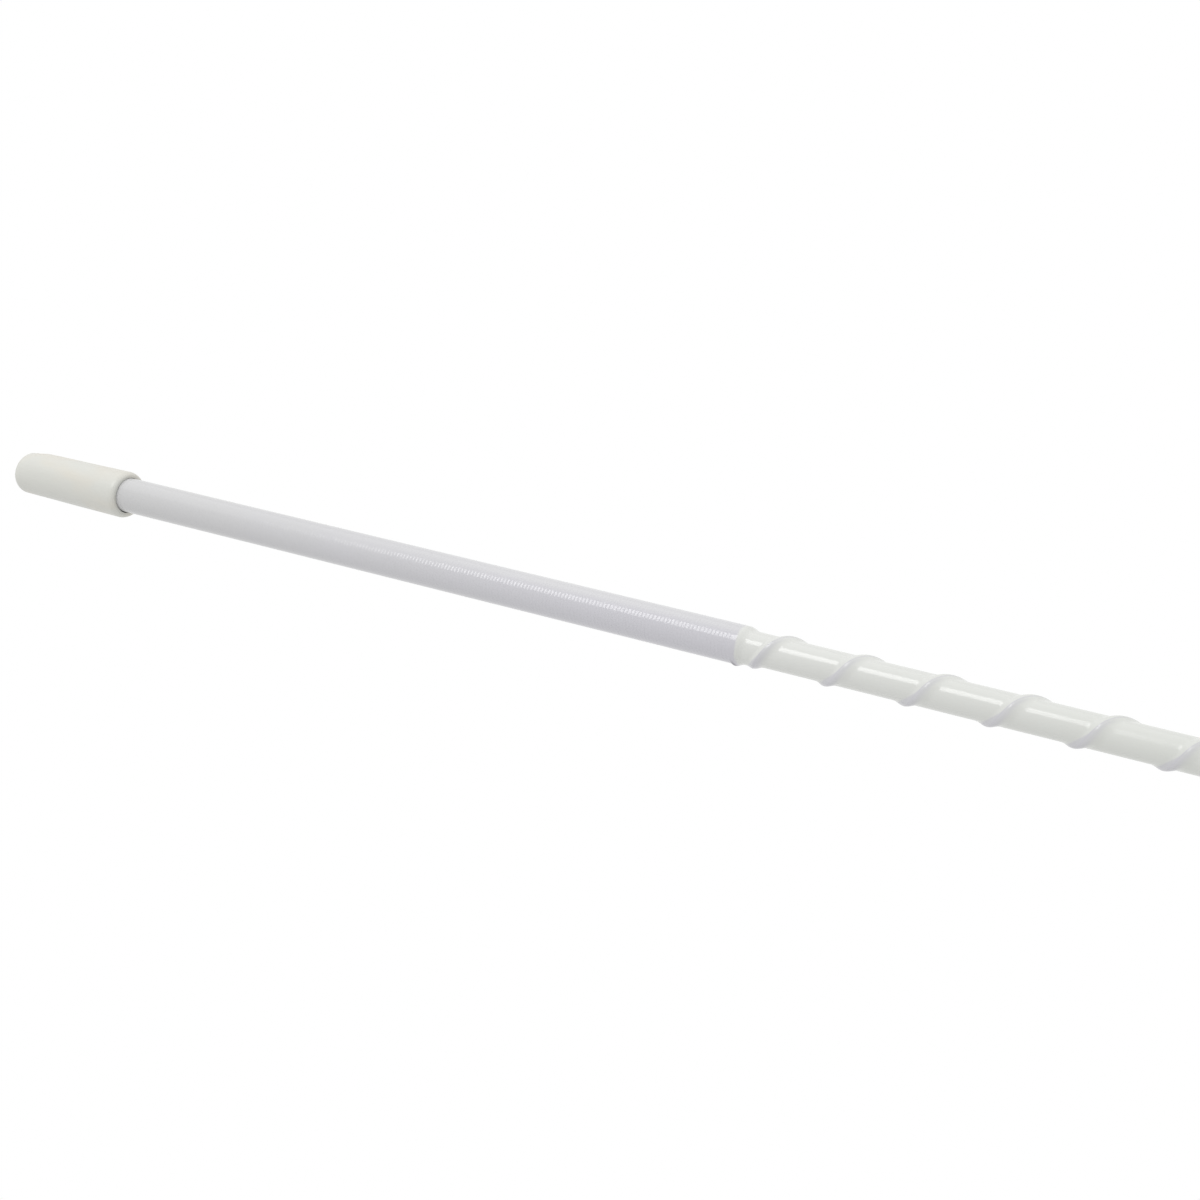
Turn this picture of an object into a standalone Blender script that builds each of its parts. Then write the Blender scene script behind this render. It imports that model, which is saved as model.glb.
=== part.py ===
"""A top-loaded helical whip antenna with a tunable tip, lying along +X on the plane z = 0.

A fibreglass rod carries one winding: close turns near the tip, which are the loading coil, and then
long turns down to the base ferrule. A white shrink jacket covers the winding, and a vinyl cap covers
the tuning tip. Sizes are metres. A station is a distance along the antenna from its closed tip.
"""

import math

import bmesh
import bpy
from mathutils import Matrix

# ---- driving dimensions ----
OVERALL_LENGTH = 0.914
AXIS_HEIGHT = 0.0088
FIT_GAP = 0.00015
END_GAP = 0.0003
EDGE_CHAMFER = 0.0005

ROD_RADIUS = 0.00475
WIRE_RADIUS = 0.00045
WINDING_RADIUS = 0.00545
SLEEVE_BORE = 0.00605
JACKET_RADIUS = 0.0065

CAP_LENGTH = 0.060
CAP_MOUTH_RADIUS = AXIS_HEIGHT
CAP_TIP_RADIUS = 0.0082
CAP_CORNER = (0.0050, 0.0038)
CAP_END_WALL = 0.0022
CAP_BORE = 0.0067
CAP_INNER_ROUNDING = 0.0007
CAP_MOUTH_BORE = 0.0071
CAP_FLARE_LENGTH = 0.008
CAP_LIP = (0.0013, 0.0024)

KNOB_STATION = 0.009
KNOB_LENGTH = 0.0065
KNOB_RADIUS = 0.0052
KNOB_HEAD = 0.0025
SLOT_WIDTH = 0.0012
SLOT_DEPTH = 0.0014
THREAD_RADIUS = 0.0020
THREAD_END_STATION = 0.033
NUT_STATION = 0.0180
NUT_LENGTH = 0.0035
NUT_ACROSS_FLATS = 0.0090

TIP_FERRULE_STATION = 0.0218
TIP_FERRULE_LENGTH = 0.0222
TIP_FERRULE_RADIUS = 0.0059
TIP_SOCKET_DEPTH = 0.010
JACKET_STATION = 0.040
COIL_STATION = 0.050
COIL_END_STATION = 0.348

STUD_RADIUS = 0.0047625
STUD_LENGTH = 0.019
HEX_ACROSS_FLATS = 0.015875
HEX_LENGTH = 0.012
HEX_CHAMFER = 0.0010
BARREL_RADIUS = 0.0069
BARREL_LENGTH = 0.021
SPIGOT_LENGTH = 0.010
BASE_SOCKET_DEPTH = 0.028

# ---- the winding: a left-hand helix whose pitch opens out where the coil ends ----
COIL_PITCH = 0.0015
HELIX_PITCH = 0.0298
OPENING_FIRST_TURN = 0.2
OPENING_LAST_TURN = 1.5
WINDING_START_ANGLE = math.radians(22)
WIRE_FIRST_TURN = 0.7
POINTS_PER_TURN = 16

# ---- stations that follow from them ----
BASE_SEAT_STATION = OVERALL_LENGTH - STUD_LENGTH
HEX_STATION = BASE_SEAT_STATION - HEX_LENGTH
BARREL_STATION = HEX_STATION - BARREL_LENGTH
SPIGOT_STATION = BARREL_STATION - SPIGOT_LENGTH
SOLDER_LENGTH = 0.0024
ROUND_STEPS = 48
SMALL_STEPS = 24
ON_AXIS = 0.0
BEAD_SEGMENTS = (12, 8)

COLOURS = {
    "cap_vinyl": ((0.71, 0.69, 0.61), 0.55, 0.0),
    "jacket_vinyl": ((0.66, 0.66, 0.65), 0.30, 0.0),
    "glass_fibre": ((0.78, 0.74, 0.60), 0.45, 0.0),
    "copper_wire": ((0.72, 0.36, 0.20), 0.35, 1.0),
    "solder": ((0.62, 0.62, 0.63), 0.35, 1.0),
    "brass": ((0.74, 0.56, 0.26), 0.30, 1.0),
    "nickel_plate": ((0.70, 0.69, 0.66), 0.22, 1.0),
}


def clear_scene():
    for obj in list(bpy.data.objects):
        bpy.data.objects.remove(obj, do_unlink=True)


def new_collection(name):
    collection = bpy.data.collections.new(name)
    bpy.context.scene.collection.children.link(collection)
    return collection


def material(slot):
    """The slot's Principled material, made the first time that it is asked for."""
    found = bpy.data.materials.get(slot)
    if found:
        return found
    colour, roughness, metallic = COLOURS[slot]
    made = bpy.data.materials.new(slot)
    made.use_nodes = True
    shader = made.node_tree.nodes["Principled BSDF"]
    shader.inputs["Base Color"].default_value = (*colour, 1.0)
    shader.inputs["Roughness"].default_value = roughness
    shader.inputs["Metallic"].default_value = metallic
    return made


def place(name, mesh, station, slot, collection):
    """An object whose local Z lies along the antenna, with its origin on the axis at the station."""
    mesh.materials.append(material(slot))
    obj = bpy.data.objects.new(name, mesh)
    obj.location = (station - OVERALL_LENGTH / 2, 0.0, AXIS_HEIGHT)
    obj.rotation_euler = (0.0, math.radians(90), 0.0)
    collection.objects.link(obj)
    return obj


def turned(name, profile, slot, collection, closed=False, steps=ROUND_STEPS):
    """A turned piece. The profile's points are (radius, station), from base to tip on its outer side."""
    start = min(station for _, station in profile)
    points = [(radius, 0.0, station - start) for radius, station in profile]
    edges = [(i, i + 1) for i in range(len(points) - 1)]
    if closed:
        edges.append((len(points) - 1, 0))
    mesh = bpy.data.meshes.new(name)
    mesh.from_pydata(points, edges, [])
    obj = place(name, mesh, start, slot, collection)
    screw = obj.modifiers.new("turn", "SCREW")
    screw.axis = "Z"
    screw.angle = math.tau
    screw.steps = steps
    screw.render_steps = steps
    screw.use_merge_vertices = True
    screw.merge_threshold = 1e-6
    screw.use_smooth_shade = True
    return obj


def ring(name, inner, outer, first, last, slot, collection, steps=ROUND_STEPS):
    """A plain sleeve between two stations."""
    profile = [(outer, last), (outer, first), (inner, first), (inner, last)]
    return turned(name, profile, slot, collection, closed=True, steps=steps)


def quarter(centre, size, first_degrees, count=5):
    """A quarter of an ellipse about (radius, station), turning towards the tip side."""
    angles = [math.radians(first_degrees - 90 * i / count) for i in range(count + 1)]
    return [
        (centre[0] + size[0] * math.cos(a), centre[1] + size[1] * math.sin(a)) for a in angles
    ]


def prism(name, across_flats, length, station, slot, collection):
    """A six-sided prism with one flat facing down."""
    bm = bmesh.new()
    bmesh.ops.create_cone(
        bm,
        cap_ends=True,
        segments=6,
        radius1=across_flats / math.sqrt(3),
        radius2=across_flats / math.sqrt(3),
        depth=length,
        matrix=Matrix.Translation((0.0, 0.0, length / 2)),
    )
    mesh = bpy.data.meshes.new(name)
    bm.to_mesh(mesh)
    bm.free()
    return place(name, mesh, station, slot, collection)


def combine(obj, tool, operation):
    """Cuts, joins or trims one piece with another, which becomes a hidden tool."""
    boolean = obj.modifiers.new(operation.lower(), "BOOLEAN")
    boolean.operation = operation
    boolean.object = tool
    tool.hide_render = True
    tool.display_type = "WIRE"


def advance(turn):
    """How far along the antenna the wire is, this many turns after the coil's end."""
    span = OPENING_LAST_TURN - OPENING_FIRST_TURN
    share = min(max((turn - OPENING_FIRST_TURN) / span, 0.0), 1.0)
    opened = span * (share**3 - share**4 / 2) + max(turn - OPENING_LAST_TURN, 0.0)
    return COIL_PITCH * turn + (HELIX_PITCH - COIL_PITCH) * opened


def winding_point(turn):
    angle = WINDING_START_ANGLE + math.tau * turn
    return (
        COIL_END_STATION + advance(turn) - OVERALL_LENGTH / 2,
        -WINDING_RADIUS * math.sin(angle),
        AXIS_HEIGHT - WINDING_RADIUS * math.cos(angle),
    )


def wire(name, points, collection):
    """A wire through world points, with flat ends."""
    curve = bpy.data.curves.new(name, "CURVE")
    curve.dimensions = "3D"
    curve.bevel_depth = WIRE_RADIUS
    curve.bevel_resolution = 2
    curve.use_fill_caps = True
    spline = curve.splines.new("POLY")
    spline.points.add(len(points) - 1)
    for point, position in zip(spline.points, points):
        point.co = (*position, 1.0)
    curve.materials.append(material("copper_wire"))
    obj = bpy.data.objects.new(name, curve)
    collection.objects.link(obj)
    return obj


def make_tip_cap(parts):
    tip_corner = quarter((CAP_TIP_RADIUS - CAP_CORNER[0], CAP_CORNER[1]), CAP_CORNER, 0)
    lip_centre = (CAP_MOUTH_RADIUS - CAP_LIP[0], CAP_LENGTH - CAP_LIP[1])
    lip = quarter(lip_centre, CAP_LIP, 90)
    profile = [
        (ON_AXIS, CAP_END_WALL),
        (CAP_BORE - CAP_INNER_ROUNDING, CAP_END_WALL),
        (CAP_BORE, CAP_END_WALL + CAP_INNER_ROUNDING),
        (CAP_BORE, CAP_LENGTH - CAP_FLARE_LENGTH),
        (CAP_MOUTH_BORE, CAP_LENGTH - END_GAP),
        *lip,
        *tip_corner,
        (ON_AXIS, 0.0),
    ]
    return turned("tip_cap", profile, "cap_vinyl", parts)


def make_tuning_knob(parts, tools):
    last = KNOB_STATION + KNOB_LENGTH
    bore = THREAD_RADIUS + FIT_GAP
    profile = [
        (ON_AXIS, KNOB_STATION + KNOB_HEAD),
        (bore, KNOB_STATION + KNOB_HEAD),
        (bore, last),
        (KNOB_RADIUS - EDGE_CHAMFER, last),
        (KNOB_RADIUS, last - EDGE_CHAMFER),
        (KNOB_RADIUS, KNOB_STATION + EDGE_CHAMFER),
        (KNOB_RADIUS - EDGE_CHAMFER, KNOB_STATION),
        (ON_AXIS, KNOB_STATION),
    ]
    knob = turned("tuning_knob", profile, "brass", parts)
    bm = bmesh.new()
    bmesh.ops.create_cube(
        bm, size=1.0, matrix=Matrix.Diagonal((SLOT_WIDTH, 3 * KNOB_RADIUS, 2 * SLOT_DEPTH, 1.0))
    )
    mesh = bpy.data.meshes.new("knob_slot")
    bm.to_mesh(mesh)
    bm.free()
    slot = place("knob_slot", mesh, KNOB_STATION, "brass", tools)
    combine(knob, slot, "DIFFERENCE")
    return knob


def make_tuning_rod(parts):
    first = KNOB_STATION + KNOB_HEAD + END_GAP
    profile = [
        (ON_AXIS, THREAD_END_STATION),
        (THREAD_RADIUS - EDGE_CHAMFER, THREAD_END_STATION),
        (THREAD_RADIUS, THREAD_END_STATION - EDGE_CHAMFER),
        (THREAD_RADIUS, first),
        (ON_AXIS, first),
    ]
    return turned("tuning_rod", profile, "brass", parts, steps=SMALL_STEPS)


def make_lock_nut(parts, tools):
    nut = prism("lock_nut", NUT_ACROSS_FLATS, NUT_LENGTH, NUT_STATION, "brass", parts)
    bore = turned(
        "nut_bore",
        [
            (ON_AXIS, NUT_STATION + NUT_LENGTH + END_GAP),
            (THREAD_RADIUS + FIT_GAP, NUT_STATION + NUT_LENGTH + END_GAP),
            (THREAD_RADIUS + FIT_GAP, NUT_STATION - END_GAP),
            (ON_AXIS, NUT_STATION - END_GAP),
        ],
        "brass",
        tools,
        steps=SMALL_STEPS,
    )
    combine(nut, bore, "DIFFERENCE")
    return nut


def make_tip_ferrule(parts):
    last = TIP_FERRULE_STATION + TIP_FERRULE_LENGTH
    floor = last - TIP_SOCKET_DEPTH
    bore = THREAD_RADIUS + FIT_GAP
    profile = [
        (TIP_FERRULE_RADIUS, last),
        (TIP_FERRULE_RADIUS, TIP_FERRULE_STATION + EDGE_CHAMFER),
        (TIP_FERRULE_RADIUS - EDGE_CHAMFER, TIP_FERRULE_STATION),
        (bore, TIP_FERRULE_STATION),
        (bore, floor),
        (ROD_RADIUS + FIT_GAP, floor),
        (ROD_RADIUS + FIT_GAP, last),
    ]
    return turned("tip_ferrule", profile, "nickel_plate", parts, closed=True)


def solder_joint(name, station, parts):
    """A bead of solder on the winding's line, between a ferrule's end and the wire."""
    angle = WINDING_START_ANGLE + math.pi
    bm = bmesh.new()
    bmesh.ops.create_uvsphere(
        bm,
        u_segments=BEAD_SEGMENTS[0],
        v_segments=BEAD_SEGMENTS[1],
        radius=1.0,
        matrix=Matrix.Diagonal((WIRE_RADIUS, WIRE_RADIUS, SOLDER_LENGTH / 2, 1.0)),
    )
    mesh = bpy.data.meshes.new(name)
    bm.to_mesh(mesh)
    bm.free()
    obj = place(name, mesh, station, "solder", parts)
    obj.location.y = -WINDING_RADIUS * math.sin(angle)
    obj.location.z = AXIS_HEIGHT - WINDING_RADIUS * math.cos(angle)
    return obj


def make_tip_connection(parts):
    """The solder joint behind the tip ferrule and the wire's straight run from it to the coil."""
    solder_station = TIP_FERRULE_STATION + TIP_FERRULE_LENGTH + END_GAP + SOLDER_LENGTH / 2
    solder_joint("tip_solder", solder_station, parts)
    first = solder_station + SOLDER_LENGTH / 2 + END_GAP
    last = COIL_STATION - END_GAP
    side = winding_point(0.5)[1:]
    wire("tip_lead", [(s - OVERALL_LENGTH / 2, *side) for s in (first, last)], parts)


def make_helix_wire(parts):
    """The long turns, from the coil's end to the solder joint in front of the base ferrule."""
    end_station = SPIGOT_STATION - 2 * END_GAP - SOLDER_LENGTH
    opened = COIL_END_STATION + advance(OPENING_LAST_TURN)
    last_turn = OPENING_LAST_TURN + (end_station - opened) / HELIX_PITCH
    count = round((last_turn - WIRE_FIRST_TURN) * POINTS_PER_TURN)
    step = (last_turn - WIRE_FIRST_TURN) / count
    points = [winding_point(WIRE_FIRST_TURN + i * step) for i in range(count + 1)]
    helix = wire("helix_wire", points, parts)
    joint = solder_joint("base_solder", end_station + END_GAP + SOLDER_LENGTH / 2, parts)
    joint.location.y = points[-1][1]
    joint.location.z = points[-1][2]
    return helix


def make_load_coil(parts):
    """The close turns, as one sleeve of their size."""
    inner = ROD_RADIUS + FIT_GAP
    outer = SLEEVE_BORE - FIT_GAP
    return ring("load_coil", inner, outer, COIL_STATION, COIL_END_STATION - END_GAP, "copper_wire", parts)


def make_winding_jacket(parts):
    """The shrink tube, as one sleeve over the tops of the wire."""
    last = BARREL_STATION - END_GAP
    return ring("winding_jacket", SLEEVE_BORE, JACKET_RADIUS, JACKET_STATION, last, "jacket_vinyl", parts)


def make_fibreglass_rod(parts):
    tip = TIP_FERRULE_STATION + TIP_FERRULE_LENGTH - TIP_SOCKET_DEPTH + END_GAP
    base = SPIGOT_STATION + BASE_SOCKET_DEPTH - END_GAP
    profile = [(ON_AXIS, base), (ROD_RADIUS, base), (ROD_RADIUS, tip), (ON_AXIS, tip)]
    return turned("fibreglass_rod", profile, "glass_fibre", parts)


def make_base_ferrule(parts, tools):
    socket = ROD_RADIUS + FIT_GAP
    hex_middle = HEX_STATION + HEX_LENGTH / 2
    profile = [
        (ON_AXIS, OVERALL_LENGTH),
        (STUD_RADIUS - HEX_CHAMFER, OVERALL_LENGTH),
        (STUD_RADIUS, OVERALL_LENGTH - HEX_CHAMFER),
        (STUD_RADIUS, hex_middle),
        (BARREL_RADIUS, hex_middle),
        (BARREL_RADIUS, BARREL_STATION),
        (TIP_FERRULE_RADIUS, BARREL_STATION),
        (TIP_FERRULE_RADIUS, SPIGOT_STATION),
        (socket, SPIGOT_STATION),
        (socket, SPIGOT_STATION + BASE_SOCKET_DEPTH),
        (ON_AXIS, SPIGOT_STATION + BASE_SOCKET_DEPTH),
    ]
    ferrule = turned("base_ferrule", profile, "nickel_plate", parts)
    wrench = prism("wrench_hex", HEX_ACROSS_FLATS, HEX_LENGTH, HEX_STATION, "nickel_plate", tools)
    corner = HEX_ACROSS_FLATS / math.sqrt(3)
    rounding = turned(
        "hex_rounding",
        [
            (ON_AXIS, BASE_SEAT_STATION + HEX_CHAMFER),
            (corner - HEX_CHAMFER * 2, BASE_SEAT_STATION + HEX_CHAMFER),
            (corner, BASE_SEAT_STATION - HEX_CHAMFER),
            (corner, HEX_STATION + HEX_CHAMFER),
            (corner - HEX_CHAMFER * 2, HEX_STATION - HEX_CHAMFER),
            (ON_AXIS, HEX_STATION - HEX_CHAMFER),
        ],
        "nickel_plate",
        tools,
    )
    combine(wrench, rounding, "INTERSECT")
    combine(ferrule, wrench, "UNION")
    return ferrule


def main():
    clear_scene()
    parts = new_collection("helical_whip_antenna")
    tools = new_collection("cutters")
    make_tip_cap(parts)
    make_tuning_knob(parts, tools)
    make_tuning_rod(parts)
    make_lock_nut(parts, tools)
    make_tip_ferrule(parts)
    make_tip_connection(parts)
    make_load_coil(parts)
    make_helix_wire(parts)
    make_winding_jacket(parts)
    make_fibreglass_rod(parts)
    make_base_ferrule(parts, tools)


main()
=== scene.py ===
"""The looks of the helical whip antenna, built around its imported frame.

The antenna lies along +X. A station is a distance along it from its closed tip, in metres, and an angle
is measured round its axis from straight down, turning towards -Y. A turn counts the winding from the
coil's end, and ahead is how far a place lies past the wire of that turn, towards the base.
"""

import math

import bmesh
import bpy
import numpy as np
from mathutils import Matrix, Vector


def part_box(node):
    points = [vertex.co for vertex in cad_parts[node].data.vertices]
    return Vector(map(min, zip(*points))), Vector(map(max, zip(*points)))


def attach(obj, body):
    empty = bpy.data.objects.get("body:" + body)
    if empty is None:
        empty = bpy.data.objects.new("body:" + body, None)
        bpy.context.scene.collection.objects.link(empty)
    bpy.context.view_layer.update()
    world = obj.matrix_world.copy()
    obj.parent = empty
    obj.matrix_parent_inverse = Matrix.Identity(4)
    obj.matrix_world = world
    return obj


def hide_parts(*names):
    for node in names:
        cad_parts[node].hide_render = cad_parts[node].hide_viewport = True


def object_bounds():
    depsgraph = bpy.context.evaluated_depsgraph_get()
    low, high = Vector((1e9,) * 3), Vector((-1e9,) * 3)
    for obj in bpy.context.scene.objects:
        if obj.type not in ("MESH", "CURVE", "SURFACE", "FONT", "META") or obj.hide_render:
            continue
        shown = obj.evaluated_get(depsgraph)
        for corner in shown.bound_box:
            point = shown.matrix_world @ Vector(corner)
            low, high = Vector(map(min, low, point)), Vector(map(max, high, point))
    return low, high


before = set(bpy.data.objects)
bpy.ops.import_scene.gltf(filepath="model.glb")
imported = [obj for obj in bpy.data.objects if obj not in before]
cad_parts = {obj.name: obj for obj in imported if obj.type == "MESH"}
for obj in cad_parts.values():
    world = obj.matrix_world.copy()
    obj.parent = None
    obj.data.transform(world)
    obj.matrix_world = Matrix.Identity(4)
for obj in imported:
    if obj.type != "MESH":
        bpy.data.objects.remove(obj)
cad_low, cad_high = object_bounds()

# ---- the frame's own places ----
TAU = math.tau
MM = 0.001
SAME_PLACE = 0.0001 * MM
TIP_X = cad_low.x


def stations(node):
    """The first and last station of a CAD node."""
    low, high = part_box(node)
    return low.x - TIP_X, high.x - TIP_X


def height_of(node):
    """A CAD node's height, which is the size across flats of a hexagon with a flat facing down."""
    low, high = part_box(node)
    return high.z - low.z


def radius_of(node):
    """The largest radius of a CAD node that is centred on the axis."""
    low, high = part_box(node)
    return max(high.z - low.z, high.y - low.y) / 2


rod_low, rod_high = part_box("fibreglass_rod")
AXIS_HEIGHT = (rod_low.z + rod_high.z) / 2
FIT_CLEARANCE = 0.1 * MM
ROD_SOCKET_RADIUS = radius_of("fibreglass_rod") + FIT_CLEARANCE


def place(radius, station, angle):
    """World points for polar places on the antenna."""
    x = TIP_X + np.asarray(station, float) + np.zeros_like(radius * np.asarray(angle, float))
    y = -radius * np.sin(angle) + np.zeros_like(x)
    z = AXIS_HEIGHT - radius * np.cos(angle) + np.zeros_like(x)
    return np.stack([x, y, z], axis=-1)


def smooth_step(value, low, high):
    """0 at low, 1 at high, smooth between them and constant beyond them. low may be the larger."""
    share = np.clip((value - low) / (high - low), 0.0, 1.0)
    return share * share * (3 - 2 * share)


# ---- the winding, the same rule as the wire in the frame ----
COIL_END_GAP = 0.3 * MM
COIL_END = stations("load_coil")[1] + COIL_END_GAP
COIL_PITCH = 1.5 * MM
HELIX_PITCH = 29.8 * MM
OPENING_FIRST_TURN = 0.2
OPENING_LAST_TURN = 1.5
WINDING_START_ANGLE = math.radians(22)
WINDING_RADIUS = 5.45 * MM


def wire_station(turn):
    """The wire's station this many turns after the coil's end."""
    turns = OPENING_LAST_TURN - OPENING_FIRST_TURN
    share = np.clip((turn - OPENING_FIRST_TURN) / turns, 0.0, 1.0)
    opened = turns * (share**3 - share**4 / 2) + np.maximum(turn - OPENING_LAST_TURN, 0.0)
    return COIL_END + COIL_PITCH * turn + (HELIX_PITCH - COIL_PITCH) * opened


def pitch_at(turn):
    """The wire's advance in one turn, at its slope here."""
    nudge = 0.01
    return (wire_station(turn + nudge) - wire_station(turn - nudge)) / (2 * nudge)


def gap_after(turn):
    """The distance along the antenna from the wire to its next turn."""
    return wire_station(turn + 1) - wire_station(turn)


# ---- mesh helpers ----
def link_mesh(name, mesh, sharp_degrees):
    """A smooth object of this mesh, with edges kept sharp above an angle."""
    mesh.shade_smooth()
    mesh.set_sharp_from_angle(angle=math.radians(sharp_degrees))
    obj = bpy.data.objects.new(name, mesh)
    bpy.context.scene.collection.objects.link(obj)
    return obj


def turned(name, profile, segments=96, shape=None, sharp_degrees=35.0):
    """A closed turned mesh through (radius, station) points. shape gives a ring's radii at its angles."""
    angles = np.arange(segments) * TAU / segments
    vertices, rings = [], []
    for radius, station in profile:
        first = len(vertices)
        if radius <= 0:
            vertices.append(place(0.0, station, 0.0))
            rings.append([first])
            continue
        radii = shape(radius, station, angles) if shape else radius
        vertices.extend(place(radii * np.ones(segments), station, angles))
        rings.append(list(range(first, first + segments)))
    if len(rings[0]) > 1:
        rings.append(rings[0])
    faces = []
    for ring, following in zip(rings, rings[1:]):
        for i in range(segments):
            j = (i + 1) % segments
            corners = [ring[i % len(ring)], ring[j % len(ring)]]
            corners += [following[j % len(following)], following[i % len(following)]]
            faces.append(list(dict.fromkeys(corners)))
    mesh = bpy.data.meshes.new(name)
    mesh.from_pydata(np.asarray(vertices).tolist(), [], faces)
    bm = bmesh.new()
    bm.from_mesh(mesh)
    bmesh.ops.recalc_face_normals(bm, faces=bm.faces)
    bm.to_mesh(mesh)
    bm.free()
    return link_mesh(name, mesh, sharp_degrees)


def rounded(profile, reach, steps=4):
    """The profile with each of its inner corners turned into a small curve."""
    points = [profile[0]]
    for before, corner, after in zip(profile, profile[1:], profile[2:]):
        before, corner, after = (np.array(p, float) for p in (before, corner, after))
        back, ahead = before - corner, after - corner
        start = corner + back * min(reach / np.linalg.norm(back), 0.5)
        end = corner + ahead * min(reach / np.linalg.norm(ahead), 0.5)
        for share in np.linspace(0, 1, steps + 1):
            point = (1 - share) ** 2 * start + 2 * share * (1 - share) * corner + share**2 * end
            if math.dist(points[-1], point) > SAME_PLACE:
                points.append(tuple(point))
    points.append(profile[-1])
    return points


def elliptic(centre, size, first_degrees, last_degrees, steps=12):
    """Points of an elliptic arc about (radius, station)."""
    angles = np.radians(np.linspace(first_degrees, last_degrees, steps + 1))
    return [(centre[0] + size[0] * math.cos(a), centre[1] + size[1] * math.sin(a)) for a in angles]


# ---- materials ----
def new_material(name, roughness, metallic=0.0):
    """A node material, with its tree, its shader and its object coordinates."""
    made = bpy.data.materials.new(name)
    made.use_nodes = True
    tree = made.node_tree
    shader = tree.nodes["Principled BSDF"]
    shader.inputs["Roughness"].default_value = roughness
    shader.inputs["Metallic"].default_value = metallic
    coordinates = tree.nodes.new("ShaderNodeTexCoord").outputs["Object"]
    return made, tree, shader, coordinates


def feed(tree, socket, value):
    """Put a number, a colour or another node's output into a socket."""
    if isinstance(value, bpy.types.NodeSocket):
        tree.links.new(value, socket)
    elif isinstance(value, tuple):
        socket.default_value = (*value, 1.0)
    else:
        socket.default_value = value


def noise(tree, vector, scale, detail=2.0, stretch=(1.0, 1.0, 1.0)):
    """A noise's value, with the coordinates scaled by stretch first."""
    mapping = tree.nodes.new("ShaderNodeMapping")
    mapping.inputs["Scale"].default_value = stretch
    tree.links.new(vector, mapping.inputs["Vector"])
    node = tree.nodes.new("ShaderNodeTexNoise")
    node.inputs["Scale"].default_value = scale
    node.inputs["Detail"].default_value = detail
    tree.links.new(mapping.outputs["Vector"], node.inputs["Vector"])
    return node.outputs["Fac"]


def along_antenna(tree, coordinates):
    """X in the piece's own coordinates, which is world X at rest."""
    node = tree.nodes.new("ShaderNodeSeparateXYZ")
    tree.links.new(coordinates, node.inputs["Vector"])
    return node.outputs["X"]


def combine(tree, operation, *values):
    """A Math node over numbers and other nodes' outputs."""
    node = tree.nodes.new("ShaderNodeMath")
    node.operation = operation
    for socket, value in zip(node.inputs, values):
        feed(tree, socket, value)
    return node.outputs["Value"]


def span(tree, value, low, high, to_low=0.0, to_high=1.0):
    """The value's span from low to high, mapped smoothly to another span and clamped."""
    node = tree.nodes.new("ShaderNodeMapRange")
    node.interpolation_type = "SMOOTHSTEP"
    for name, number in zip(("From Min", "From Max", "To Min", "To Max"), (low, high, to_low, to_high)):
        node.inputs[name].default_value = number
    tree.links.new(value, node.inputs["Value"])
    return node.outputs["Result"]


def blend(tree, factor, first, second):
    """A colour between two, each a colour or another node's output."""
    node = tree.nodes.new("ShaderNodeMix")
    node.data_type = "RGBA"
    tree.links.new(factor, node.inputs["Factor"])
    first_colour, second_colour = node.inputs[6], node.inputs[7]
    feed(tree, first_colour, first)
    feed(tree, second_colour, second)
    return node.outputs[2]


def bump(tree, shader, height, distance, strength=1.0):
    """Let a height, times a distance in metres, tilt the shader's normal."""
    node = tree.nodes.new("ShaderNodeBump")
    node.inputs["Distance"].default_value = distance
    node.inputs["Strength"].default_value = strength
    tree.links.new(height, node.inputs["Height"])
    tree.links.new(node.outputs["Normal"], shader.inputs["Normal"])


def attribute(tree, name):
    """A value that is kept on the mesh's points."""
    node = tree.nodes.new("ShaderNodeAttribute")
    node.attribute_name = name
    return node.outputs["Fac"]


CAP_WHITE = (0.508, 0.510, 0.478)
CAP_WARM = (0.532, 0.503, 0.440)
JACKET_WHITE = (0.561, 0.567, 0.546)
JACKET_WHITE_WARM = (0.548, 0.560, 0.530)
# The ridge line's colour: the wire's grey and painted shade together.
JACKET_RIDGE_TINT_AND_SHADE = (0.468, 0.467, 0.486)
JACKET_OVER_WIRE = (0.448, 0.448, 0.450)
JACKET_OVER_WIRE_COOL = (0.460, 0.455, 0.485)
# Painted shade for the bump under the tape at the coil's end.
JACKET_END_BUMP_SHADE = (0.13, 0.12, 0.14)
GLASS_FIBRE_LIGHT = (0.80, 0.77, 0.64)
GLASS_FIBRE_DARK = (0.70, 0.64, 0.47)
COPPER_BRIGHT = (0.72, 0.33, 0.16)
COPPER_DARK = (0.60, 0.24, 0.10)
SOLDER_BRIGHT = (0.62, 0.62, 0.63)
SOLDER_DULL = (0.48, 0.48, 0.50)
BRASS_BRIGHT = (0.66, 0.46, 0.20)
BRASS_DULL = (0.48, 0.31, 0.12)
NICKEL_BRIGHT = (0.47, 0.46, 0.44)
NICKEL_DULL = (0.36, 0.35, 0.33)

# World X where a tone starts to change and where it has changed.
CAP_YELLOWING_X = (-0.40, -0.45)
COIL_COOLING_X = (-0.37, -0.04)
HELIX_WARMING_X = (-0.05, 0.20)

# How far along X the mottle moves the skin's tones, and how much rougher metal is where it is dull.
TONE_DRIFT_X = 0.12
DULL_PATCH_ROUGHER = 1.8


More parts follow.
